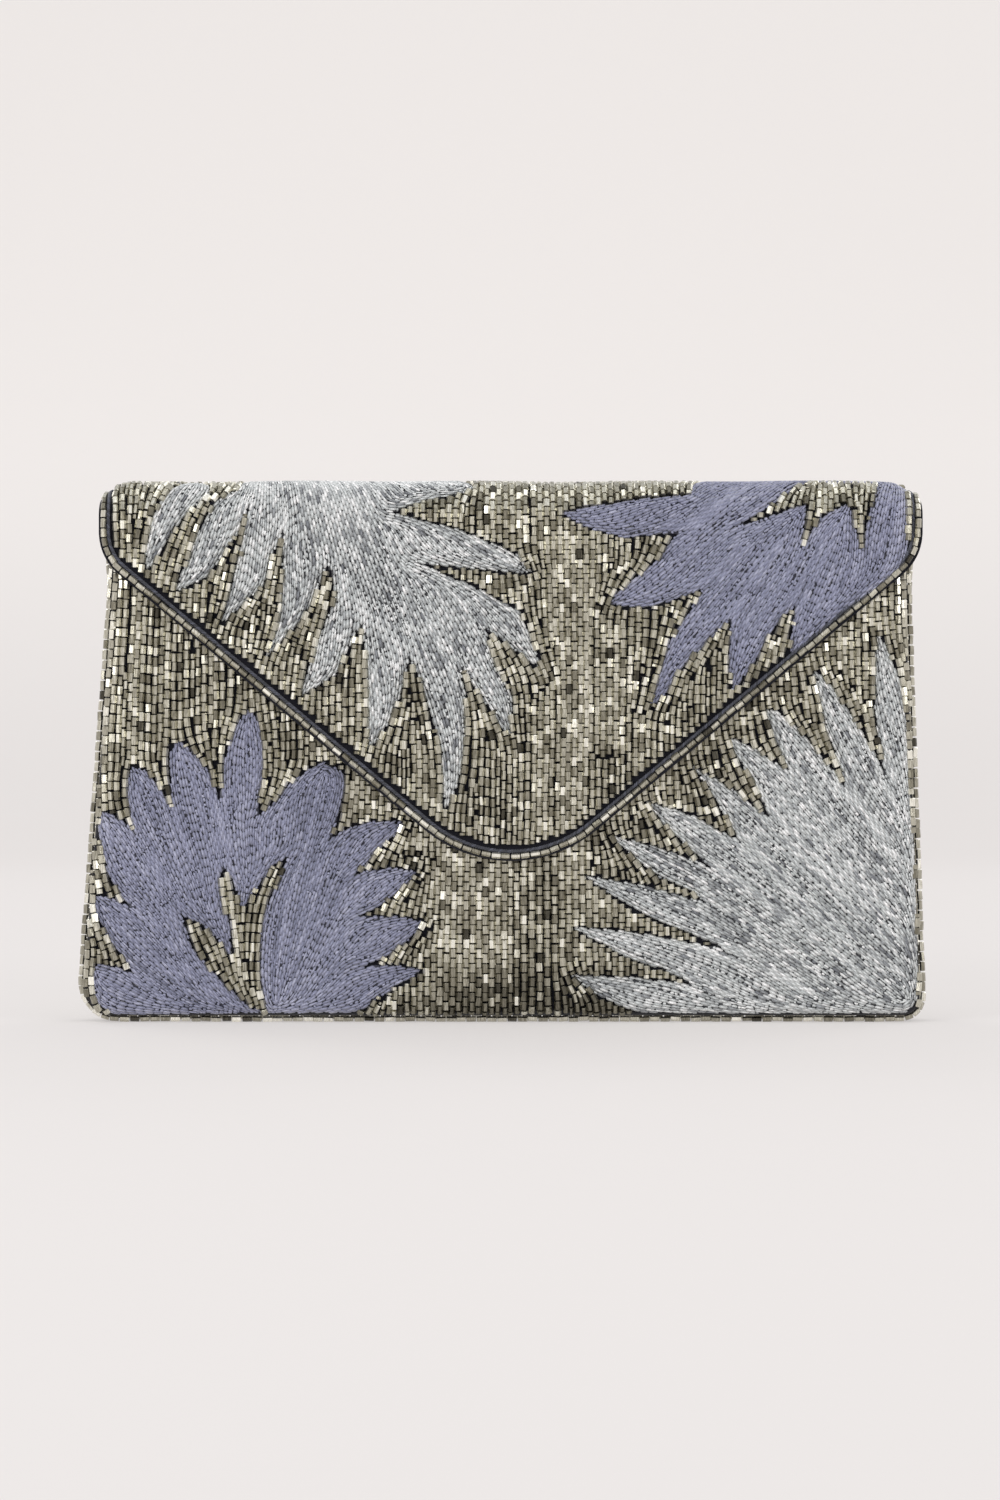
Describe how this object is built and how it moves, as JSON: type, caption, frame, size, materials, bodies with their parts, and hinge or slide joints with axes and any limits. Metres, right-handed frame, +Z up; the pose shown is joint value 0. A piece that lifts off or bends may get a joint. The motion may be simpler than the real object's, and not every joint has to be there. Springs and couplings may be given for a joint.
{
  "type": "clutch purse",
  "caption": "Flat beaded envelope clutch with a V-shaped flap, embroidered spiky leaves, a satin-lined compartment with a slip pocket and a magnetic snap under the flap.",
  "frame": {"origin": "On the table, at the middle of the purse's width and depth, at the level of the underside of the edge beads.", "axes": "+Z up with the purse standing on its bottom edge, +X along its width to the right as the front is seen, -Y out of the front, where the flap is."},
  "size_m": [0.2787, 0.0254, 0.1785],
  "materials": {
    "field_beads": "gloss",
    "edge_beads": "gloss",
    "silver_thread": "satin",
    "lavender_thread": "satin",
    "base_cloth": "matte",
    "wadding": "matte",
    "stiffener": "matte",
    "satin_lining": "satin",
    "trim_cord": "satin",
    "snap_metal": "satin"
  },
  "bodies": {
    "case": {"front_beading": "field_beads", "front_silver_leaf": "silver_thread", "front_lavender_leaf": "lavender_thread", "front_fabric": "base_cloth", "front_padding": "wadding", "front_board": "stiffener", "front_lining": "satin_lining", "mouth_binding": "base_cloth", "front_edge_beads": "edge_beads", "back_edge_beads": "edge_beads", "gusset_fabric": "base_cloth", "gusset_lining": "satin_lining", "back_beading": "field_beads", "back_fabric": "base_cloth", "back_padding": "wadding", "back_board": "stiffener", "back_lining": "satin_lining", "slip_pocket": "satin_lining", "snap_socket": "snap_metal", "snap_socket_plate": "snap_metal"},
    "top_fold": {"fold_beading": "field_beads", "fold_fabric": "base_cloth", "fold_interfacing": "wadding", "fold_lining": "satin_lining"},
    "flap": {"flap_beading": "field_beads", "flap_silver_leaf": "silver_thread", "flap_lavender_leaf": "lavender_thread", "flap_edge_beads": "edge_beads", "flap_cord": "trim_cord", "flap_fabric": "base_cloth", "flap_board": "stiffener", "flap_lining": "satin_lining", "snap_stud": "snap_metal", "snap_stud_plate": "snap_metal"}
  },
  "joints": [
    {"name": "fold_hinge", "type": "hinge", "parent": "case", "child": "top_fold", "pos_m": [0.0032, 0.00902, 0.17477], "axis": [-1, 0, 0], "range_deg": [0, 90]},
    {"name": "flap_hinge", "type": "hinge", "parent": "top_fold", "child": "flap", "pos_m": [0.0032, -0.00902, 0.17477], "axis": [-1, 0, 0], "range_deg": [0, 90]}
  ],
  "couplings": [
    {"joint": "flap_hinge", "follows": "fold_hinge", "ratio": 1}
  ]
}
